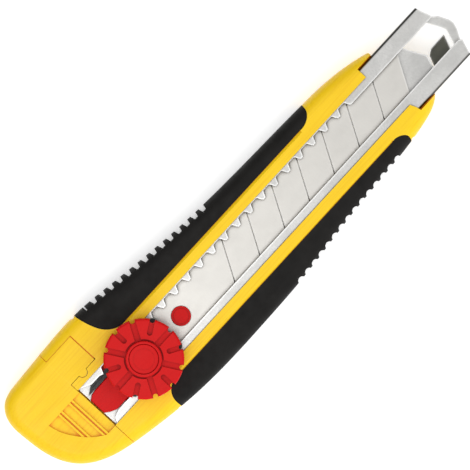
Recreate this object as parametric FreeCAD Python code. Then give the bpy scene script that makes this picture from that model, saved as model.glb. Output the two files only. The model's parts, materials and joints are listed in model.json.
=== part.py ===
import FreeCAD, Part
import math
import os

from FreeCAD import Vector

# Snap-off utility knife for 18 mm blades, lying on its back with the lock wheel up.
# X runs along the knife with the blade tip towards +X, Y runs across it and Z up from the back.
# Y = 0 is the middle of the blade channel, and Z = 0 is the flat back. All sizes are in mm.

# ---- driving dimensions -------------------------------------------------------------------
BODY_HEIGHT = 13.0
COVER_TOP = 3.6
WEB_BOTTOM = 7.0
WEB_TOP = 8.2
TOP_ROUND = 3.6
BACK_ROUND = 3.0
SHELL_WALL = 2.0

GRIP_WRAP = 2.0
GRIP_COVER = 1.7
GRIP_RECESS = 0.25
GRIP_EDGE_Y = 10.3
GRIP_EDGE_LOW = -10.25
KNOB_PITCH = 2.966
KNOB_HEIGHT = 1.4
ROUND_KNOB_PITCH = 2.99

SHEET = 0.6
CHANNEL_HALF = 9.8
CHANNEL_BOTTOM = WEB_TOP
CHANNEL_TOP = 11.8
CHANNEL_REAR = -61.6
CHANNEL_BEND = 0.9
RAIL_UPPER_EDGE = 4.83
RAIL_LOWER_EDGE = -4.67
RACK_ROOT = 6.6
RACK_PITCH = 5.0
RACK_LAST_TOOTH = 40.9
RACK_TEETH = 19

SLOT_HALF = 6.95
UPPER_LIP_FRONT = 53.7
LOWER_LIP_FRONT = 57.0
FINGER_TIP = 59.1

CAP_JOINT = -61.7
CAP_GAP = 0.15
LATCH_FRONT = -52.4
LATCH_INNER = 9.4
LATCH_OUTER = 18.4
LATCH_FLOOR = CHANNEL_TOP + 0.1
BUMP_X = -57.2
BUMP_RADIUS = 1.3

BLADE_WIDTH = 18.0
BLADE_THICK = 0.5
BLADE_LENGTH = 100.5
BLADE_TIP = 66.6
BLADE_BOTTOM = 10.3
SEGMENT_PITCH = 10.0
SNAP_LINES = 7
SNAP_HALF = 0.17
SNAP_DEPTH = 0.13
SNAP_LEAN = math.tan(math.radians(30.0))

SHOE_BOTTOM = 8.95
SHOE_HALF = 8.85
SLIDER_REAR = -61.4
TONGUE_TOP = 11.55
PEG_X = -27.9
PEG_RADIUS = 2.7
PEG_TOP = 11.35

WHEEL_X = -43.1
WHEEL_Y = -0.25
WHEEL_RADIUS = 10.95
WHEEL_BOTTOM = 13.4
WHEEL_TOP = 19.6
HUB_TOP = 20.3
HUB_RADIUS = 4.9
WHEEL_CAP_RADIUS = 4.05
CHANNEL_DEPTH = 1.1
LONG_CHANNEL = 1.8
SHORT_CHANNEL = 1.5
RIM_NOTCH = 1.4
CAP_SEAT = 19.2
CAP_TOP = 20.05

STUD_RADIUS = 2.0
STUD_TOP = 18.6
RING_BOTTOM = 17.85
RING_TOP = 18.25
RING_BORE = 1.65
THREAD_RUNNING_GAP = 0.05
NUT_FLATS = 7.0
NUT_TOP = 17.05

PLATE_BOTTOM = 9.95
PLATE_TOP = 11.1
PRESSURE_BOTTOM = CHANNEL_TOP + 0.05
PRESSURE_TOP = PRESSURE_BOTTOM + 1.0
WASHER_BOTTOM = PRESSURE_TOP + 0.65
WASHER_TOP = WASHER_BOTTOM + 0.4

PAD_DEPTH = 1.1
PAD_RIBS = (-69.4, -65.3)

SCREW_PLACES = [(-54.0, 14.6), (-54.5, -12.2), (44.0, 11.75), (53.0, -11.4)]
SCREW_HEAD_RADIUS = 1.8
SCREW_SHANK_RADIUS = 0.9
SCREW_SEAT = 2.3
SCREW_TIP = 9.8

# Small notches in the yellow edge where each grip ends: x, y and radius.
RELIEF_NOTCHES = [(37.0, 15.3, 0.9), (50.3, -14.6, 1.0), (-48.4, 22.0, 1.0), (-46.5, -17.3, 0.8)]

CHANNEL_PEGS = (-56.0, 34.0)
CHANNEL_PEG_RADIUS = 1.5

# The plan outline of the handle, from the upper nose finger round the tail to the lower one.
OUTLINE = [
    (66.0, 5.6), (62.9, 9.2), (59.0, 11.0), (54.5, 12.3), (48.0, 13.6), (36.0, 14.55), (12.0, 15.3),
    (-6.0, 16.25), (-34.0, 19.7), (-47.0, 21.35), (-60.0, 21.2), (-72.0, 20.5),
    (-77.6, 19.3), (-80.2, 16.4), (-81.05, 8.5), (-80.0, 0.5), (-76.3, -6.8),
    (-70.0, -11.4), (-60.0, -14.4), (-50.0, -16.2), (-38.0, -17.6), (-14.0, -18.0),
    (4.0, -17.4), (24.0, -15.6), (48.0, -14.2), (56.6, -13.0), (62.0, -11.1), (64.6, -8.2),
]


# ---- small helpers ------------------------------------------------------------------------
def box(x0, x1, y0, y1, z0, z1):
    return Part.makeBox(x1 - x0, y1 - y0, z1 - z0, Vector(x0, y0, z0))


def disc(x, y, z0, z1, radius):
    return Part.makeCylinder(radius, z1 - z0, Vector(x, y, z0))


def ring(x, y, z0, z1, outer, inner):
    return disc(x, y, z0, z1, outer).cut(disc(x, y, z0 - 1, z1 + 1, inner))


def prism(points, z0, z1):
    """A straight-sided solid over a closed plan polygon."""
    corners = [Vector(x, y, z0) for x, y in points]
    wire = Part.makePolygon(corners + corners[:1])
    return Part.Face(wire).extrude(Vector(0, 0, z1 - z0))


def side_prism(points, y0, y1):
    """A solid from a closed X-Z polygon, extruded across the knife."""
    corners = [Vector(x, y0, z) for x, z in points]
    wire = Part.makePolygon(corners + corners[:1])
    return Part.Face(wire).extrude(Vector(0, y1 - y0, 0))


def section_prism(points, x0, x1):
    """A solid from a closed Y-Z polygon, extruded along the knife."""
    corners = [Vector(x0, y, z) for y, z in points]
    wire = Part.makePolygon(corners + corners[:1])
    return Part.Face(wire).extrude(Vector(x1 - x0, 0, 0))


def curve_through(points, z=0.0):
    curve = Part.BSplineCurve()
    curve.interpolate([Vector(x, y, z) for x, y in points])
    return curve


def curved_prism(smooth, straight, z0, z1):
    """A solid whose plan is a smooth curve, closed by straight runs through more points."""
    edges = [curve_through(smooth, z0).toShape()]
    corners = [smooth[-1]] + straight + [smooth[0]]
    for (xa, ya), (xb, yb) in zip(corners, corners[1:]):
        edges.append(Part.makeLine(Vector(xa, ya, z0), Vector(xb, yb, z0)))
    return Part.Face(Part.Wire(edges)).extrude(Vector(0, 0, z1 - z0))


def joined(shapes):
    """One solid from several that touch or overlap."""
    whole = shapes[0].fuse(shapes[1:]) if len(shapes) > 1 else shapes[0]
    return whole.removeSplitter()


def rounded(shape, radius, chosen):
    """The shape with each edge that chosen picks rounded."""
    edges = [e for e in shape.Edges if chosen(e)]
    return shape.makeFillet(radius, edges)


def level(edge, z):
    box_of_edge = edge.BoundBox
    return abs(box_of_edge.ZMin - z) < 1e-4 and abs(box_of_edge.ZMax - z) < 1e-4


def largest(shape):
    return max(shape.Solids, key=lambda s: s.Volume)


def polar(radius, degrees, x=WHEEL_X, y=WHEEL_Y):
    angle = math.radians(degrees)
    return x + radius * math.cos(angle), y + radius * math.sin(angle)


def turned(shape, degrees, x=WHEEL_X, y=WHEEL_Y):
    copy = shape.copy()
    copy.rotate(Vector(x, y, 0), Vector(0, 0, 1), degrees)
    return copy


# ---- the handle's outer form --------------------------------------------------------------
def outline_points(inset, count=44):
    """The plan outline, moved inwards along its own normal."""
    curve = curve_through(OUTLINE)
    points = []
    for i in range(count + 1):
        t = curve.FirstParameter + (curve.LastParameter - curve.FirstParameter) * i / count
        at = curve.value(t)
        along = Vector(*curve.tangent(t)[0])
        along.normalize()
        points.append((at.x - along.y * inset, at.y + along.x * inset))
    return points


def handle_form(inset, z0, z1, top_round, back_round):
    """The handle's whole outer form, or a smaller copy of it."""
    points = outline_points(inset) if inset else OUTLINE
    form = curved_prism(points, [], z0, z1)
    if top_round:
        form = rounded(form, top_round, lambda e: level(e, z1))
    if back_round:
        form = rounded(form, back_round, lambda e: level(e, z0))
    return form


def side_y(x, upper):
    """Where the outline's upper or lower side is at a station along the knife."""
    curve = curve_through(OUTLINE).toShape()
    line = Part.makeLine(Vector(x, 0, 0), Vector(x, 40 if upper else -40, 0))
    return line.distToShape(curve)[1][0][0].y


def upper_grip_zone(z0=-1.0, z1=15.0):
    rear = [(-47.8, 26.0), (-47.5, 21.0), (-46.6, 17.0), (-45.0, 13.3), (-42.5, 11.0), (-38.7, GRIP_EDGE_Y)]
    front = [(30.8, GRIP_EDGE_Y), (34.2, 10.9), (36.0, 12.6), (36.4, 14.4), (36.4, 26.0)]
    return zone_between(rear, front, z0, z1)


def lower_grip_zone(z0=-1.0, z1=15.0):
    rear = [(-46.1, -26.0), (-45.85, -15.6), (-45.4, -12.9), (-43.6, -10.9), (-40.5, GRIP_EDGE_LOW)]
    front = [(45.6, GRIP_EDGE_LOW), (48.4, -10.7), (49.8, -12.2), (49.5, -14.0), (49.3, -26.0)]
    return zone_between(rear, front, z0, z1)


def zone_between(rear, front, z0, z1):
    """The plan region of one grip: two curved ends, a straight inner edge and the outside."""
    edges = [curve_through(rear, z0).toShape(), curve_through(front, z0).toShape()]
    for (xa, ya), (xb, yb) in ((rear[-1], front[0]), (front[-1], rear[0])):
        edges.append(Part.makeLine(Vector(xa, ya, z0), Vector(xb, yb, z0)))
    wire = Part.Wire(Part.__sortEdges__(edges))
    return Part.Face(wire).extrude(Vector(0, 0, z1 - z0))


def nose_underside():
    """The wedge that the back loses towards the nose, so that the knife thins to its tip."""
    return side_prism([(42.0, -1.0), (70.0, -1.0), (70.0, 4.4), (64.0, 3.2), (52.0, 0.7), (42.0, 0.0)], -30, 30)


# ---- yellow housing and back cover --------------------------------------------------------
def handle_body():
    """The yellow housing and its back cover as one piece, before they are parted."""
    outer = handle_form(0.0, 0.0, BODY_HEIGHT, TOP_ROUND, BACK_ROUND)
    core = handle_form(GRIP_WRAP, GRIP_COVER, BODY_HEIGHT - GRIP_COVER, 0.0, 0.0)
    zones = upper_grip_zone().fuse(lower_grip_zone())
    body = outer.cut(zones).fuse(core.common(zones))
    body = body.cut(nose_underside())
    for x, y, radius in RELIEF_NOTCHES:
        body = body.cut(disc(x, y, -1, 15, radius))
    behind_joint = box(-90, CAP_JOINT, -30, 30, -1, 15)
    spigot_room = box(CAP_JOINT - 7.0, CAP_JOINT + 0.5, -30, 30, COVER_TOP, 10.4)
    spigot = handle_form(SHELL_WALL + 0.2, COVER_TOP, 10.4, 0.0, 0.0).common(spigot_room)
    body = body.cut(behind_joint).fuse(spigot)
    seat_floor = LATCH_FLOOR - 0.1
    latch_seat = box(-62, LATCH_FRONT + 0.3, LATCH_INNER - CAP_GAP, LATCH_OUTER + CAP_GAP, seat_floor, 15)
    body = body.cut(latch_seat).cut(disc(BUMP_X, LATCH_INNER, seat_floor, 15, BUMP_RADIUS + CAP_GAP))
    channel_room = box(-90, 90, -CHANNEL_HALF, CHANNEL_HALF, CHANNEL_BOTTOM, CHANNEL_TOP)
    slot = box(-70, 90, -SLOT_HALF, SLOT_HALF, CHANNEL_BOTTOM, 15)
    body = body.cut(channel_room).cut(slot)
    finger_inner = CHANNEL_HALF + 0.3
    open_nose = [(UPPER_LIP_FRONT, finger_inner), (UPPER_LIP_FRONT, 0.0), (LOWER_LIP_FRONT - 0.6, 0.0),
                 (LOWER_LIP_FRONT - 0.6, -7.2), (LOWER_LIP_FRONT, -8.6), (LOWER_LIP_FRONT + 0.3, -finger_inner),
                 (70, -finger_inner), (70, finger_inner)]
    body = body.cut(prism(open_nose, CHANNEL_BOTTOM, 15)).cut(box(FINGER_TIP, 70, 5, 20, -1, 15))
    belly_end = [(60.5, 9.0), (57.5, 0.0), (57.5, -1.0), (70.0, -1.0), (70.0, 9.0)]
    body = body.cut(side_prism(belly_end, -CHANNEL_HALF, CHANNEL_HALF))
    return body.removeSplitter()


def strip_bevels():
    """The long bevels where the yellow strips drop to the grips."""
    upper = [(GRIP_EDGE_Y + 0.02, 13.1), (GRIP_EDGE_Y - 0.85, 13.1), (GRIP_EDGE_Y - 0.75, BODY_HEIGHT),
             (GRIP_EDGE_Y + 0.02, 12.5)]
    lower = [(GRIP_EDGE_LOW + GRIP_EDGE_Y - y, z) for y, z in upper]
    return section_prism(upper, -39.2, 31.0).fuse(section_prism(lower, -41.0, 46.0))


def screw_holes(z0, z1, radius):
    holes = [disc(x, y, z0, z1, radius) for x, y in SCREW_PLACES]
    return holes[0].fuse(holes[1:])


def housing_cavity():
    """The hollows under the housing, left as pockets between its stiffening ribs."""
    inside = handle_form(GRIP_WRAP + SHELL_WALL, 0, 9.4, 0.0, 0.0).common(box(-59.5, 54.5, -30, 30, 0, 15))
    under_web = box(-90, 90, -11.2, 11.2, WEB_BOTTOM, 15)
    return inside.cut(under_web).cut(stiffeners())


def cover_cavity():
    """The shallow hollow in the back cover, under the same ribs."""
    inside = handle_form(GRIP_WRAP + SHELL_WALL, SHELL_WALL, COVER_TOP + 1, 0.0, 0.0)
    return inside.common(box(-59.5, 50.0, -30, 30, 0, 15)).cut(stiffeners())


def stiffeners():
    ribs = [box(-60, 60, y - 0.6, y + 0.6, 0, 15) for y in (-10.4, -4.0, 4.0, 10.4)]
    ribs += [box(x - 0.6, x + 0.6, -30, 30, 0, 15) for x in (-50.0, -30.0, -10.0, 10.0, 30.0, 48.0)]
    ribs += [disc(x, y, 0, 15, 2.9) for x, y in SCREW_PLACES]
    ribs += [disc(x, 0.0, 0, 15, 3.2) for x in CHANNEL_PEGS]
    return ribs[0].fuse(ribs[1:])


def housing(body):
    """The main moulding: side walls, lips, nose fingers and the web that the channel lies on."""
    half = body.common(box(-90, 90, -30, 30, COVER_TOP, 15)).cut(strip_bevels()).cut(housing_cavity())
    pegs = [disc(x, 0.0, CHANNEL_BOTTOM - 0.5, CHANNEL_BOTTOM + 0.55, CHANNEL_PEG_RADIUS) for x in CHANNEL_PEGS]
    half = half.fuse(pegs)
    return largest(half.cut(screw_holes(COVER_TOP - 1, SCREW_TIP, SCREW_SHANK_RADIUS)).removeSplitter())


def back_cover(body):
    half = body.common(box(-90, 90, -30, 30, -1, COVER_TOP)).cut(cover_cavity())
    half = half.cut(screw_holes(-1, COVER_TOP + 1, SCREW_SHANK_RADIUS + 0.2))
    return largest(half.cut(screw_holes(-1, SCREW_SEAT, SCREW_HEAD_RADIUS + 0.25)))


def screw(x, y):
    """A self-tapping screw with a cross recess, driven from the back."""
    low, arm = SCREW_SEAT - 1.3, 1.1
    head = disc(x, y, low, SCREW_SEAT, SCREW_HEAD_RADIUS)
    head = rounded(head, 0.5, lambda e: level(e, low))
    recess = box(x - arm, x + arm, y - 0.25, y + 0.25, low - 0.1, low + 0.8)
    recess = recess.fuse(box(x - 0.25, x + 0.25, y - arm, y + arm, low - 0.1, low + 0.8))
    shank = disc(x, y, SCREW_SEAT, SCREW_TIP - 0.7, SCREW_SHANK_RADIUS)
    tip = Part.makeCone(SCREW_SHANK_RADIUS, 0.3, 0.7, Vector(x, y, SCREW_TIP - 0.7))
    return joined([head.cut(recess), shank, tip])


# ---- rubber grips -------------------------------------------------------------------------
def grip(zone, grooves):
    outer = handle_form(0.0, GRIP_RECESS, BODY_HEIGHT - GRIP_RECESS, TOP_ROUND, BACK_ROUND)
    core = handle_form(GRIP_WRAP, GRIP_COVER, BODY_HEIGHT - GRIP_COVER, 0.0, 0.0)
    strip = outer.common(zone).cut(core).cut(nose_underside())
    return largest(strip.cut(grooves))


def square_grooves():
    """The gaps between the square knobs of the upper grip: one narrow slit, then a row of wide ones."""
    places = [(-44.2, 0.6)] + [(-41.05 + KNOB_PITCH * i, 1.85) for i in range(14)]
    cutters = []
    for x, width in places:
        y = side_y(x, True) - KNOB_HEIGHT
        top, foot = width / 2, width / 2 - 0.35 * (width > 1)
        plan = [(x - foot, y), (x + foot, y), (x + top, y + KNOB_HEIGHT), (x + top, y + 6), (x - top, y + 6),
                (x - top, y + KNOB_HEIGHT)]
        cutters.append(prism(plan, -1, 15))
    return cutters[0].fuse(cutters[1:])


def round_grooves():
    """The scalloped gaps between the round knobs of the lower grip."""
    cutters = []
    for i in range(15):
        x = 1.5 + ROUND_KNOB_PITCH * i
        y = side_y(x, False) - 0.25
        cutters.append(turned(disc(x, y, -1, 15, 1.15), 90, x, y))
    return cutters[0].fuse(cutters[1:])


# ---- steel blade channel ------------------------------------------------------------------
def rack_edge():
    """The upper flange's inner edge from nose to tail, with its row of rounded teeth."""
    points = [(90.0, RAIL_UPPER_EDGE), (RACK_LAST_TOOTH + 4.3, RAIL_UPPER_EDGE)]
    half_tip, half_root, steps = 0.35, 1.0, 6
    rise = RACK_ROOT - RAIL_UPPER_EDGE
    for tooth in range(RACK_TEETH + 1):
        valley = RACK_LAST_TOOTH + RACK_PITCH / 2 - RACK_PITCH * tooth
        flank = RACK_PITCH / 2 - half_root - half_tip
        for side in (1, -1):
            for i in range(steps + 1):
                share = i / steps if side == 1 else 1 - i / steps
                x = valley + side * (half_root + flank * (1 - share))
                smooth = 0.5 - 0.5 * math.cos(math.pi * share)
                points.append((x, RAIL_UPPER_EDGE + rise * smooth))
    return points


def channel_opening():
    """The open gap between the flanges, with its lead-in at the tail."""
    rear_edge = [(-54.9, 5.24), (-58.0, 5.24), (-60.7, 6.6), (-62.5, 7.6), (-62.5, -7.6),
                 (-61.0, -6.7), (-60.2, -5.35), (-58.0, RAIL_LOWER_EDGE)]
    front_edge = [(78.2, RAIL_LOWER_EDGE), (79.0, -5.3), (90.0, -5.3)]
    return prism(rack_edge() + rear_edge + front_edge, CHANNEL_TOP - SHEET - 0.4, CHANNEL_TOP + 1)


def folded_tab():
    """The tongue punched out of the back plate's window and folded down along its lower side."""
    hinge_y, fold = -8.0, math.radians(28.0)
    plan = [(67.4, hinge_y), (68.9, -4.5), (70.1, -2.1), (71.6, -1.2), (77.1, -1.1), (73.9, hinge_y)]
    flat = [(x, hinge_y + (y - hinge_y) / math.cos(fold)) for x, y in plan]
    tab = prism(flat, CHANNEL_BOTTOM, CHANNEL_BOTTOM + SHEET)
    tab.rotate(Vector(0, hinge_y, CHANNEL_BOTTOM + SHEET / 2), Vector(1, 0, 0), -math.degrees(fold))
    return tab


def blade_channel():
    length = 82.0 - CHANNEL_REAR
    outer = box(CHANNEL_REAR, 82.0, -CHANNEL_HALF, CHANNEL_HALF, CHANNEL_BOTTOM, CHANNEL_TOP)
    outer = rounded(outer, CHANNEL_BEND, lambda e: e.BoundBox.XLength > length - 1)
    inner_half = CHANNEL_HALF - SHEET
    inner = box(CHANNEL_REAR - 1, 83.0, -inner_half, inner_half, CHANNEL_BOTTOM + SHEET, CHANNEL_TOP - SHEET)
    inner = rounded(inner, CHANNEL_BEND - SHEET, lambda e: e.BoundBox.XLength > length)
    channel = outer.cut(inner).cut(channel_opening())
    flange_ends = [(76.5, 12.0), (76.6, 9.9), (77.1, 8.2), (78.2, RAIL_UPPER_EDGE), (78.2, -3.0), (79.2, -5.3),
                   (78.9, -6.0), (77.6, -9.9), (77.5, -12.0), (90.0, -12.0), (90.0, 12.0)]
    channel = channel.cut(prism(flange_ends, CHANNEL_BOTTOM + SHEET + 0.3, 13))
    nose = [(76.6, 12.0), (76.6, 9.9), (78.2, 4.8), (79.6, 3.6), (80.9, 0.6), (81.05, -0.7), (80.4, -2.6),
            (79.0, -4.9), (77.6, -9.9), (77.5, -12.0), (90.0, -12.0), (90.0, 12.0)]
    channel = channel.cut(prism(nose, 7.0, CHANNEL_BOTTOM + SHEET + 0.35))
    window = [(65.4, 7.0), (69.5, -1.3), (68.4, -4.7), (67.1, -8.0), (75.2, -8.0), (76.7, -4.7), (78.2, -0.2),
              (74.7, 7.0)]
    channel = channel.cut(prism(window, 7.0, CHANNEL_BOTTOM + SHEET + 0.2))
    for x in CHANNEL_PEGS:
        channel = channel.cut(disc(x, 0.0, 7.0, 9.4, CHANNEL_PEG_RADIUS + 0.1))
    return largest(joined([channel, folded_tab()]))


# ---- blade, slider and lock ---------------------------------------------------------------
def blade():
    """A scored blade with a ground edge on its upper side and a raked tip."""
    half, top = BLADE_WIDTH / 2, BLADE_BOTTOM + BLADE_THICK
    middle = BLADE_BOTTOM + BLADE_THICK / 2
    section = [(-half, BLADE_BOTTOM), (half - 1.2, BLADE_BOTTOM), (half, middle - 0.03), (half, middle + 0.03),
               (half - 1.2, top), (-half, top)]
    strip = section_prism(section, BLADE_TIP - BLADE_LENGTH, BLADE_TIP)
    tail = BLADE_TIP - BLADE_LENGTH
    plan = [(tail, -4.6), (tail + 4.4, -half - 1), (BLADE_TIP - SNAP_LEAN * (BLADE_WIDTH + 1), -half - 1),
            (BLADE_TIP + SNAP_LEAN, half + 1), (tail + 4.4, half + 1), (tail, 4.6)]
    strip = strip.common(prism(plan, 9, 12)).cut(disc(PEG_X, 0.0, 9, 12, PEG_RADIUS + 0.05))
    middle_x = BLADE_TIP - SNAP_LEAN * half
    vee = [(-SNAP_HALF, 0.0), (0.0, -SNAP_DEPTH), (SNAP_HALF, 0.0), (SNAP_HALF, 1.0), (-SNAP_HALF, 1.0)]
    for line in range(1, SNAP_LINES + 1):
        x = middle_x - SEGMENT_PITCH * line
        groove = section_prism(vee, -14, 14)
        groove.rotate(Vector(0, 0, 0), Vector(0, 0, 1), 60.0)
        groove.translate(Vector(x, 0, top))
        strip = strip.cut(groove)
    return strip


def slider():
    """The red carrier: a shoe under the blade, a tongue between the flanges, and the blade peg."""
    shoe_top = BLADE_BOTTOM
    shoe = box(-55.0, -20.0, -SHOE_HALF, SHOE_HALF, SHOE_BOTTOM, shoe_top)
    shoe = rounded(shoe, 2.5, lambda e: e.BoundBox.ZLength > 1)
    tongue_plan = [(SLIDER_REAR, -2.4), (-60.0, -3.5), (-58.2, -4.4), (-52.2, -4.4), (-52.2, 3.55), (-58.3, 3.55),
                   (-60.2, 3.25), (SLIDER_REAR, 2.4)]
    tongue = prism(tongue_plan, SHOE_BOTTOM, TONGUE_TOP)
    tongue = rounded(tongue, 0.3, lambda e: level(e, TONGUE_TOP))
    neck = box(-35.3, -34.2, -4.3, 4.3, SHOE_BOTTOM, 11.7)
    peg = disc(PEG_X, 0.0, SHOE_BOTTOM, PEG_TOP, PEG_RADIUS)
    peg = rounded(peg, 0.25, lambda e: level(e, PEG_TOP))
    groove = ring(PEG_X, 0.0, PEG_TOP - 0.2, 12, PEG_RADIUS - 0.4, PEG_RADIUS - 0.75)
    carrier = joined([shoe, tongue, neck, peg.cut(groove)])
    for side in (-7.0, 7.0):
        carrier = carrier.cut(box(-36.5, -31.5, side - 2.6, side + 2.6, 8, 12))
    return largest(carrier.cut(box(-51.8, -35.3, -10, 10, 9.9, 12)))


def clamp_plate():
    plate = box(-51.6, -35.5, -8.5, 8.5, PLATE_BOTTOM, PLATE_TOP)
    plate = rounded(plate, 1.5, lambda e: e.BoundBox.ZLength > 1)
    return plate.cut(disc(WHEEL_X, WHEEL_Y, 9, 12, STUD_RADIUS))


def threaded_stud():
    """The M4 stud riveted into the clamp plate, with a groove for its ring and no modelled thread."""
    stud = disc(WHEEL_X, WHEEL_Y, PLATE_BOTTOM, STUD_TOP, STUD_RADIUS)
    stud = stud.makeChamfer(0.3, [e for e in stud.Edges if level(e, STUD_TOP)])
    return stud.cut(ring(WHEEL_X, WHEEL_Y, RING_BOTTOM, RING_TOP, 3.0, RING_BORE))


def retaining_ring():
    """The open snap ring that keeps the wheel on its stud."""
    body = ring(WHEEL_X, WHEEL_Y, RING_BOTTOM, RING_TOP, 3.3, RING_BORE)
    mouth = box(WHEEL_X, WHEEL_X + 5, WHEEL_Y - 1.1, WHEEL_Y + 1.1, 17, 19)
    return body.cut(mouth)


def pressure_plate():
    plate = box(WHEEL_X - 9.7, WHEEL_X + 9.9, -5.9, 5.6, PRESSURE_BOTTOM, PRESSURE_TOP)
    plate = rounded(plate, 1.2, lambda e: e.BoundBox.ZLength > 0.9)
    return plate.cut(disc(WHEEL_X, WHEEL_Y, 11, 14, STUD_RADIUS + 0.2))


def disc_spring():
    """A dished spring washer, resting on its rim."""
    low, high = PRESSURE_TOP, PRESSURE_TOP + 0.65
    section = [(5.0, low), (5.0, low + 0.35), (2.3, high), (2.3, high - 0.35)]
    corners = [Vector(WHEEL_X + r, WHEEL_Y, z) for r, z in section]
    face = Part.Face(Part.makePolygon(corners + corners[:1]))
    return face.revolve(Vector(WHEEL_X, WHEEL_Y, 0), Vector(0, 0, 1), 360)


def thrust_washer():
    return ring(WHEEL_X, WHEEL_Y, WASHER_BOTTOM, WASHER_TOP, 5.6, STUD_RADIUS + 0.2)


def detent_spring():
    """The black leaf beside the tongue, whose nose clicks along the rack."""
    root = prism([(-60.9, 3.7), (-58.3, 5.35), (-51.9, 5.35), (-51.9, 3.7)], 10.4, 11.1)
    leaf = box(-58.6, -42.4, 3.7, 4.45, 11.1, 11.75)
    nose_x = RACK_LAST_TOOTH + RACK_PITCH / 2 - 85.0
    nose = prism([(nose_x - 1.5, 3.7), (nose_x - 1.5, 4.5), (nose_x - 0.6, 5.9), (nose_x, 6.25),
                  (nose_x + 0.6, 5.9), (nose_x + 1.5, 4.5), (nose_x + 1.5, 3.7)], 11.15, 11.75)
    return joined([root, leaf, nose])


# ---- lock wheel ---------------------------------------------------------------------------
def hexagon(across_flats, z0, z1):
    corner = across_flats / math.sqrt(3.0)
    return prism([polar(corner, 60.0 * i) for i in range(6)], z0, z1)


def wheel_nut():
    nut = hexagon(NUT_FLATS, WASHER_TOP, NUT_TOP)
    return nut.cut(disc(WHEEL_X, WHEEL_Y, 10, 20, STUD_RADIUS + THREAD_RUNNING_GAP))


def radial_cut(inner, outer, width, z0, z1, degrees):
    """A round-ended radial slot in the wheel."""
    slot = box(WHEEL_X + inner, WHEEL_X + outer, WHEEL_Y - width / 2, WHEEL_Y + width / 2, z0, z1)
    slot = slot.fuse(disc(WHEEL_X + inner, WHEEL_Y, z0, z1, width / 2))
    return turned(slot, degrees)


def wheel_undercut():
    """The cone that thins the wheel's rim from below."""
    section = [(7.6, WHEEL_BOTTOM - 0.1), (12.5, WHEEL_BOTTOM - 0.1), (12.5, WHEEL_BOTTOM + 3.3)]
    corners = [Vector(WHEEL_X + r, WHEEL_Y, z) for r, z in section]
    face = Part.Face(Part.makePolygon(corners + corners[:1]))
    return face.revolve(Vector(WHEEL_X, WHEEL_Y, 0), Vector(0, 0, 1), 360)


def lock_wheel():
    """The red knob: notched rim, six raised pads, and a hub ring round its cap."""
    rim = disc(WHEEL_X, WHEEL_Y, WHEEL_BOTTOM, WHEEL_TOP, WHEEL_RADIUS)
    rim = rounded(rim, 0.7, lambda e: level(e, WHEEL_TOP)).cut(wheel_undercut())
    hub = disc(WHEEL_X, WHEEL_Y, WHEEL_TOP - 1, HUB_TOP, HUB_RADIUS)
    hub = rounded(hub, 0.3, lambda e: level(e, HUB_TOP))
    floor = WHEEL_TOP - CHANNEL_DEPTH
    cuts = [ring(WHEEL_X, WHEEL_Y, floor, HUB_TOP + 1, HUB_RADIUS + 0.5, HUB_RADIUS)]
    for i in range(12):
        cuts.append(radial_cut(WHEEL_RADIUS - 0.35, WHEEL_RADIUS + 2, RIM_NOTCH, 10, 25, 30.0 * i))
    for i in range(6):
        cuts.append(radial_cut(HUB_RADIUS + 0.8, WHEEL_RADIUS + 2, LONG_CHANNEL, floor, 25, 60.0 * i))
        start = 0.66 * WHEEL_RADIUS
        cuts.append(radial_cut(start, WHEEL_RADIUS + 2, SHORT_CHANNEL, floor, 25, 60.0 * i + 30.0))
    wheel = rim.fuse(hub).cut(cuts[0].fuse(cuts[1:]))
    bores = [disc(WHEEL_X, WHEEL_Y, 10, WASHER_TOP, 6.1), hexagon(NUT_FLATS, 10, NUT_TOP),
             disc(WHEEL_X, WHEEL_Y, NUT_TOP, 25, 3.5),
             disc(WHEEL_X, WHEEL_Y, CAP_SEAT, 25, WHEEL_CAP_RADIUS + 0.1)]
    return largest(wheel.cut(bores[0].fuse(bores[1:])).removeSplitter())


def wheel_cap():
    cap = disc(WHEEL_X, WHEEL_Y, CAP_SEAT, CAP_TOP, WHEEL_CAP_RADIUS)
    cap = rounded(cap, 0.25, lambda e: level(e, CAP_TOP))
    return cap.cut(ring(WHEEL_X, WHEEL_Y, CAP_TOP - 0.1, 21, 3.0, 2.7))


# ---- tail cap -----------------------------------------------------------------------------
def thumb_pad():
    """The recessed pad on the cap, less the ribs that stand in it."""
    arc = [(-74.0, 6.3), (-73.1, 2.6), (-71.3, -0.8), (-69.0, -3.8), (-65.0, -7.0)]
    recess = curved_prism(arc, [(-60.0, -7.0), (-60.0, 6.3)], BODY_HEIGHT - PAD_DEPTH, 15)
    for x in PAD_RIBS:
        for side in (-0.52, 0.52):
            recess = recess.cut(box(x + side - 0.27, x + side + 0.27, -10, 10, 0, BODY_HEIGHT - 0.15))
    return recess


def tail_cap():
    outer = handle_form(0.0, 0.0, BODY_HEIGHT, TOP_ROUND, BACK_ROUND)
    cap = outer.common(box(-90, CAP_JOINT - CAP_GAP, -30, 30, -1, 15))
    socket = handle_form(SHELL_WALL, 2.3, 10.6, 0.0, 0.0).common(box(CAP_JOINT - 7.3, -50, -30, 30, 0, 15))
    hollow = handle_form(SHELL_WALL + 1.5, 3.0, 10.0, 0.0, 0.0).common(box(-90, -60, -30, 30, 0, 15))
    return largest(cap.cut(socket).cut(hollow).cut(thumb_pad()))


def cap_latch():
    """The cap's springy tongue, with the round bump that snaps into the housing."""
    outer = handle_form(0.0, 0.0, BODY_HEIGHT, TOP_ROUND, BACK_ROUND)
    tongue = box(CAP_JOINT - CAP_GAP, LATCH_FRONT, LATCH_INNER, LATCH_OUTER, LATCH_FLOOR, 15)
    bump = disc(BUMP_X, LATCH_INNER, LATCH_FLOOR, 15, BUMP_RADIUS)
    return largest(outer.common(tongue.fuse(bump)))


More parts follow.
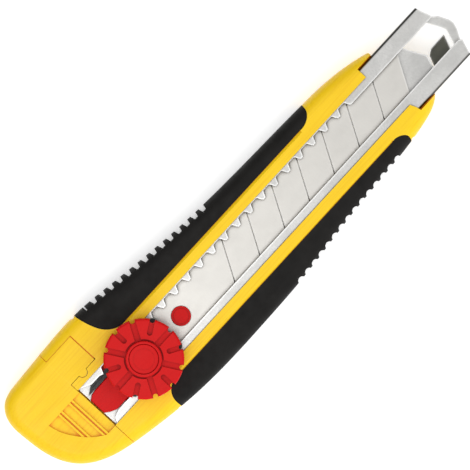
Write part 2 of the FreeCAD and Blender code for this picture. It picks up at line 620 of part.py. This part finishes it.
# ---- write the parts ----------------------------------------------------------------------
def main():
    os.makedirs("parts", exist_ok=True)
    body = handle_body()
    shapes = {
        "housing": housing(body),
        "back_cover": back_cover(body),
        "shell_screws": Part.makeCompound([screw(x, y) for x, y in SCREW_PLACES]),
        "upper_grip": grip(upper_grip_zone(), square_grooves()),
        "lower_grip": grip(lower_grip_zone(), round_grooves()),
        "blade_channel": blade_channel(),
        "blade": blade(),
        "slider": slider(),
        "clamp_plate": clamp_plate(),
        "threaded_stud": threaded_stud(),
        "retaining_ring": retaining_ring(),
        "pressure_plate": pressure_plate(),
        "disc_spring": disc_spring(),
        "thrust_washer": thrust_washer(),
        "detent_spring": detent_spring(),
        "lock_wheel": lock_wheel(),
        "wheel_nut": wheel_nut(),
        "wheel_cap": wheel_cap(),
        "tail_cap": tail_cap(),
        "cap_latch": cap_latch(),
    }
    for name, shape in shapes.items():
        if not shape.isValid():
            print("INVALID", name)
        shape.exportStep("parts/" + name + ".step")


main()
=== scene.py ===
import bpy
import json
import math
from mathutils import Matrix, Vector

# A snap-off utility knife lying on its back, in the CAD part's own frame, in metres.
# X runs along the knife towards the blade tip, Y across it, and Z up from the back.
MM = 0.001
# How far from the channel's middle line the painted shade on its outer bends starts, and where it is
# darkest.
BEND_SHADE_START = 9.10 * MM
BEND_SHADE_DARKEST = 9.50 * MM

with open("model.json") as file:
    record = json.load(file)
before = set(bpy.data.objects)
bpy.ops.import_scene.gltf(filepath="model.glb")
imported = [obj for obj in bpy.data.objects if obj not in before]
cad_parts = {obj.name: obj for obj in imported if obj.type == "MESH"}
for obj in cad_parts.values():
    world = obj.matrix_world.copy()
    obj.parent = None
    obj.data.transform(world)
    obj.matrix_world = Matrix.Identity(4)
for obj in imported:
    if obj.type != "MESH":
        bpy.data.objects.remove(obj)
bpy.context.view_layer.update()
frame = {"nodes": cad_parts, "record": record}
nodes = frame["nodes"]


# ---- node materials ------------------------------------------------------------------------
class Surface:
    """One procedural material, with short calls for the nodes that it is made of."""

    def __init__(self, name, colour, roughness, metallic=0.0, specular=0.5):
        self.material = bpy.data.materials.new(name)
        self.material.use_nodes = True
        self.tree = self.material.node_tree
        self.shader = self.tree.nodes["Principled BSDF"]
        self.shader.inputs["Base Color"].default_value = (*colour, 1.0)
        self.shader.inputs["Roughness"].default_value = roughness
        self.shader.inputs["Metallic"].default_value = metallic
        self.shader.inputs["Specular IOR Level"].default_value = specular
        self.place = self.add("ShaderNodeTexCoord").outputs["Object"]
        self.colour = None
        self.base = colour
        self.height = None

    def add(self, kind, **settings):
        node = self.tree.nodes.new(kind)
        for key, value in settings.items():
            setattr(node, key, value)
        return node

    def link(self, out, into):
        self.tree.links.new(out, into)

    def grain(self, size_mm, detail=3.0, stretch=(1.0, 1.0, 1.0), rough=0.5):
        """Noise whose features are about size_mm across, drawn out along an axis by stretch."""
        mapping = self.add("ShaderNodeMapping")
        mapping.inputs["Scale"].default_value = tuple(1.0 / (size_mm * MM * s) for s in stretch)
        noise = self.add("ShaderNodeTexNoise")
        noise.inputs["Scale"].default_value = 1.0
        noise.inputs["Detail"].default_value = detail
        noise.inputs["Roughness"].default_value = rough
        self.link(self.place, mapping.inputs["Vector"])
        self.link(mapping.outputs["Vector"], noise.inputs["Vector"])
        return noise.outputs["Fac"]

    def band(self, value, low, high, to_low=0.0, to_high=1.0):
        ranged = self.add("ShaderNodeMapRange")
        self.link(value, ranged.inputs["Value"])
        limits = {"From Min": low, "From Max": high, "To Min": to_low, "To Max": to_high}
        for key, number in limits.items():
            ranged.inputs[key].default_value = number
        return ranged.outputs["Result"]

    def times(self, a, b):
        product = self.add("ShaderNodeMath", operation="MULTIPLY")
        self.link(a, product.inputs[0])
        if isinstance(b, float):
            product.inputs[1].default_value = b
        else:
            self.link(b, product.inputs[1])
        return product.outputs["Value"]

    def edges(self, radius_mm):
        """1 on the outside edges of the shape and 0 on its open faces."""
        soft = self.add("ShaderNodeBevel", samples=4)
        soft.inputs["Radius"].default_value = radius_mm * MM
        face = self.add("ShaderNodeNewGeometry")
        dot = self.add("ShaderNodeVectorMath", operation="DOT_PRODUCT")
        self.link(soft.outputs["Normal"], dot.inputs[0])
        self.link(face.outputs["Normal"], dot.inputs[1])
        return self.band(dot.outputs["Value"], 0.98, 0.86)

    def corners(self, distance_mm, low, high):
        """An occlusion mask for painted shade: 1 deep in seams and under overhangs, and 0 in the open."""
        shade = self.add("ShaderNodeAmbientOcclusion", samples=6)
        shade.inputs["Distance"].default_value = distance_mm * MM
        return self.band(shade.outputs["AO"], high, low)

    def size_of(self, vector, axis):
        """One component of a vector, without its sign."""
        split = self.add("ShaderNodeSeparateXYZ")
        self.link(vector, split.inputs[0])
        plain = self.add("ShaderNodeMath", operation="ABSOLUTE")
        self.link(split.outputs[axis], plain.inputs[0])
        return plain.outputs["Value"]

    def glow(self, colour, value):
        """Paints a glow where value is high, standing in for light that seeps through thin coloured
        plastic.
        """
        self.shader.inputs["Emission Color"].default_value = (*colour, 1.0)
        self.link(value, self.shader.inputs["Emission Strength"])

    def tint(self, colour, share):
        """Moves the colour towards another one where share is high."""
        mix = self.add("ShaderNodeMix", data_type="RGBA")
        self.link(share, mix.inputs["Factor"])
        if self.colour is None:
            mix.inputs["A"].default_value = (*self.base, 1.0)
        else:
            self.link(self.colour, mix.inputs["A"])
        mix.inputs["B"].default_value = (*colour, 1.0)
        self.colour = mix.outputs["Result"]
        self.link(self.colour, self.shader.inputs["Base Color"])

    def roughen(self, value, low, high):
        self.link(self.band(value, 0.3, 0.7, low, high), self.shader.inputs["Roughness"])

    def relief(self, value, depth_mm, strength=1.0):
        """Adds one more layer of bump."""
        bump = self.add("ShaderNodeBump")
        bump.inputs["Distance"].default_value = depth_mm * MM
        bump.inputs["Strength"].default_value = strength
        self.link(value, bump.inputs["Height"])
        if self.height is not None:
            self.link(self.height, bump.inputs["Normal"])
        self.height = bump.outputs["Normal"]
        self.link(self.height, self.shader.inputs["Normal"])


def moulded_plastic(name, colour, light, dark, seam_shade_and_glow, streaks, roughness, specular):
    """Satin moulded plastic: colour drift, flow streaks, fine scratches, edges lightened partly as rubbing
    wear and partly as a painted highlight, and painted shade with a painted glow in seams and under
    overhangs.
    """
    s = Surface(name, colour, roughness, specular=specular)
    s.tint(dark, s.times(s.band(s.grain(14.0, 3.0), 0.35, 0.7), 0.25))
    s.tint(light, s.times(s.band(s.grain(0.5, 2.0), 0.45, 0.75), 0.15))
    # Lighter edges: partly rubbing wear, partly a painted highlight.
    s.tint(light, s.times(s.edges(0.25), 0.35))
    s.tint(dark, s.times(s.band(s.grain(0.45, 2.0, (45.0, 1.0, 1.0)), 0.48, 0.68), streaks))
    # Painted shade in seams and under overhangs, and a painted glow in the same places.
    shade_in_seams = s.corners(1.3, 0.22, 0.74)
    s.tint(seam_shade_and_glow, s.times(shade_in_seams, 0.85))
    s.glow(seam_shade_and_glow, s.times(shade_in_seams, 0.35))
    scratches = s.grain(0.12, 2.0, (60.0, 1.0, 1.0), 0.6)
    s.roughen(s.grain(5.0, 4.0), roughness - 0.05, roughness + 0.07)
    s.relief(s.grain(0.35, 2.0), 0.010)
    s.relief(s.band(scratches, 0.62, 0.74), 0.004)
    return s.material


def soft_rubber(name):
    """Matt black rubber with a fine spark-eroded grain, and raised edges lightened partly as a dusty bloom
    and partly as a painted sheen.
    """
    s = Surface(name, (0.0085, 0.0078, 0.0072), 0.62, specular=0.15)
    s.tint((0.0125, 0.0115, 0.0105), s.band(s.grain(6.0, 4.0), 0.35, 0.75))
    # Lighter raised edges: partly dust, partly a painted sheen.
    s.tint((0.034, 0.032, 0.030), s.times(s.edges(0.3), 0.5))
    s.roughen(s.grain(2.5, 4.0), 0.55, 0.72)
    s.relief(s.grain(0.16, 3.0), 0.020)
    return s.material


def brushed_steel(name, colour, roughness, lines_mm, lines, mottle, burnish_and_highlight, shade_reach_mm):
    """Rolled or ground steel: lines across the knife, sheared edges brightened partly as burnish and partly
    as a painted highlight, painted dark reflections on steep side faces, outer bends and the folded tab,
    and painted shade under overhangs.
    """
    s = Surface(name, colour, roughness, metallic=1.0)
    ground = s.grain(0.13, 3.0, (1.0, lines_mm, 1.0), 0.65)
    darker = tuple(c * 0.70 for c in colour)
    bright = (0.97, 0.97, 0.96)
    s.tint(darker, s.times(s.band(ground, 0.40, 0.72), lines))
    s.tint(darker, s.times(s.band(s.grain(5.0, 5.0, (1.6, 1.0, 1.0), 0.6), 0.42, 0.72), mottle))
    facing = s.add("ShaderNodeNewGeometry").outputs["Normal"]
    # Painted dark reflection on faces that turn across the knife, the folded tab among them.
    s.tint((0.19, 0.19, 0.16), s.band(s.size_of(facing, "Y"), 0.42, 0.46))
    # Near-white steep faces and edges: partly burnished sheared metal, partly a painted highlight.
    s.tint(bright, s.times(s.band(s.size_of(facing, "Z"), 0.86, 0.78), burnish_and_highlight))
    s.tint(bright, s.times(s.edges(0.85), burnish_and_highlight))
    # Painted shade and dark reflection along the channel's outer bends.
    painted_bend_shade = s.band(s.size_of(s.place, "Y"), BEND_SHADE_START, BEND_SHADE_DARKEST)
    s.tint((0.020, 0.018, 0.015), s.times(painted_bend_shade, 0.95))
    # Painted shade under overhangs, in grooves and in corners.
    s.tint((0.075, 0.065, 0.052), s.times(s.corners(shade_reach_mm, 0.60, 0.73), 0.95))
    s.roughen(s.grain(3.0, 4.0, (2.0, 1.0, 1.0)), roughness - 0.02, roughness + 0.04)
    s.relief(ground, 0.0012)
    return s.material


def plain_metal(name, colour, roughness, metallic=1.0):
    s = Surface(name, colour, roughness, metallic=metallic)
    s.tint(tuple(c * 0.6 for c in colour), s.times(s.band(s.grain(1.2, 4.0), 0.45, 0.75), 0.5))
    # Lighter edges: partly wear, partly a painted highlight.
    s.tint(tuple(min(1.0, c * 1.5 + 0.02) for c in colour), s.times(s.edges(0.15), 0.5))
    s.roughen(s.grain(0.8, 3.0), roughness - 0.06, roughness + 0.10)
    s.relief(s.grain(0.25, 3.0), 0.004)
    return s.material


yellow = moulded_plastic("yellow_plastic", (0.96, 0.63, 0.010), (0.98, 0.75, 0.05), (0.87, 0.50, 0.006),
                         (0.55, 0.15, 0.002), 0.50, 0.36, 0.24)
red = moulded_plastic("red_plastic", (0.63, 0.0070, 0.0075), (0.76, 0.024, 0.018), (0.50, 0.004, 0.006),
                      (0.20, 0.002, 0.003), 0.15, 0.36, 0.10)
rubber = soft_rubber("black_rubber")
channel_steel = brushed_steel("channel_steel", (0.55, 0.545, 0.53), 0.33, 6.0, 0.80, 0.70, 0.85, 0.5)
blade_steel = brushed_steel("blade_steel", (0.54, 0.525, 0.495), 0.38, 25.0, 0.15, 0.20, 0.30, 1.6)
black_steel = plain_metal("black_steel", (0.007, 0.007, 0.008), 0.45, 0.0)
plain_steel = plain_metal("plain_steel", (0.55, 0.55, 0.56), 0.33)
brass = plain_metal("brass", (0.72, 0.50, 0.20), 0.30)

FINISHES = {
    "yellow_plastic": yellow,
    "red_plastic": red,
    "black_rubber": rubber,
    "channel_steel": channel_steel,
    "blade_steel": blade_steel,
    "black_steel": black_steel,
    "plain_steel": plain_steel,
    "brass": brass,
}
for part in frame["record"]["subparts"]:
    slots = nodes[part["node"]].material_slots
    for slot in slots:
        slot.material = FINISHES[part["material_slot"]]


# ---- softened edges on the steel channel ---------------------------------------------------
def soften(node, width_mm):
    """Breaks a part's sharp edges, as a deburring wheel leaves them."""
    part = nodes[node]
    weld = part.modifiers.new("weld", "WELD")
    weld.merge_threshold = 1e-7
    bevel = part.modifiers.new("bevel", "BEVEL")
    bevel.width = width_mm * MM
    bevel.segments = 2
    bevel.limit_method = "ANGLE"
    bevel.angle_limit = math.radians(32.0)
    bevel.use_clamp_overlap = False
    bevel.harden_normals = True
    normals = part.modifiers.new("normals", "WEIGHTED_NORMAL")
    normals.keep_sharp = True


soften("blade_channel", 0.12)


# ---- floor, light and camera ---------------------------------------------------------------
def floor():
    """Pale paper, lit faintly from beneath so that the knife's shadows stay soft."""
    mesh = bpy.data.meshes.new("floor")
    half = 2.0
    corners = [(-half, -half, 0), (half, -half, 0), (half, half, 0), (-half, half, 0)]
    mesh.from_pydata(corners, [], [(0, 1, 2, 3)])
    plane = bpy.data.objects.new("floor", mesh)
    bpy.context.scene.collection.objects.link(plane)
    plane.location.z = -0.02 * MM
    s = Surface("floor_paper", (0.93, 0.93, 0.93), 0.85, specular=0.1)
    s.shader.inputs["Emission Color"].default_value = (1.0, 1.0, 1.0, 1.0)
    s.shader.inputs["Emission Strength"].default_value = 0.42
    s.tint((0.90, 0.90, 0.90), s.band(s.grain(40.0, 2.0), 0.3, 0.8))
    mesh.materials.append(s.material)


def softbox(name, place, aim, size, watts):
    light = bpy.data.lights.new(name, "AREA")
    light.shape = "RECTANGLE"
    light.size, light.size_y = size
    light.energy = watts
    lamp = bpy.data.objects.new(name, light)
    bpy.context.scene.collection.objects.link(lamp)
    lamp.location = place
    lamp.rotation_mode = "QUATERNION"
    lamp.rotation_quaternion = (Vector(aim) - Vector(place)).to_track_quat("-Z", "Y")


def sky(dark, bright):
    """A studio surround, bright overhead and on the near side, and dark low on the toothed side."""
    world = bpy.data.worlds.new("studio")
    world.use_nodes = True
    tree = world.node_tree
    coords = tree.nodes.new("ShaderNodeTexCoord")
    along = tree.nodes.new("ShaderNodeVectorMath")
    along.operation = "DOT_PRODUCT"
    along.inputs[1].default_value = (-0.08, -0.45, 1.00)
    ramp = tree.nodes.new("ShaderNodeMapRange")
    tree.links.new(coords.outputs["Generated"], along.inputs[0])
    tree.links.new(along.outputs["Value"], ramp.inputs["Value"])
    ramp.inputs["From Min"].default_value = 0.20
    ramp.inputs["From Max"].default_value = 0.55
    ramp.inputs["To Min"].default_value = dark
    ramp.inputs["To Max"].default_value = bright
    tree.nodes["Background"].inputs["Color"].default_value = (1.0, 1.0, 1.0, 1.0)
    tree.links.new(ramp.outputs["Result"], tree.nodes["Background"].inputs["Strength"])
    bpy.context.scene.world = world


KNIFE_ANGLE = math.radians(47.4)
PICTURE_CENTRE = Vector((-1.8, 4.1, 12.0)) * MM
PICTURE_WIDTH = 127.5 * MM
CAMERA_DISTANCE = 1.3
LEAN = math.radians(1.5)


def camera():
    """Nearly straight down, turned so that the knife runs up to the right."""
    data = bpy.data.cameras.new("camera")
    data.sensor_width = 36.0
    data.lens = data.sensor_width * CAMERA_DISTANCE / PICTURE_WIDTH
    data.clip_start, data.clip_end = 0.05, 10.0
    eye = bpy.data.objects.new("camera", data)
    bpy.context.scene.collection.objects.link(eye)
    up = Vector((math.sin(KNIFE_ANGLE), math.cos(KNIFE_ANGLE), 0.0))
    back = Vector((0.0, math.sin(LEAN), math.cos(LEAN)))
    right = up.cross(back).normalized()
    up = back.cross(right)
    turn = Matrix((right, up, back)).transposed()
    eye.matrix_world = turn.to_4x4()
    eye.location = PICTURE_CENTRE + back * CAMERA_DISTANCE
    bpy.context.scene.camera = eye


floor()
sky(0.03, 1.12)
softbox("key", (-0.16, -0.06, 0.50), (-0.05, 0.0, 0.0), (0.25, 0.25), 0.45)
camera()
bpy.context.scene.view_settings.view_transform = "Standard"
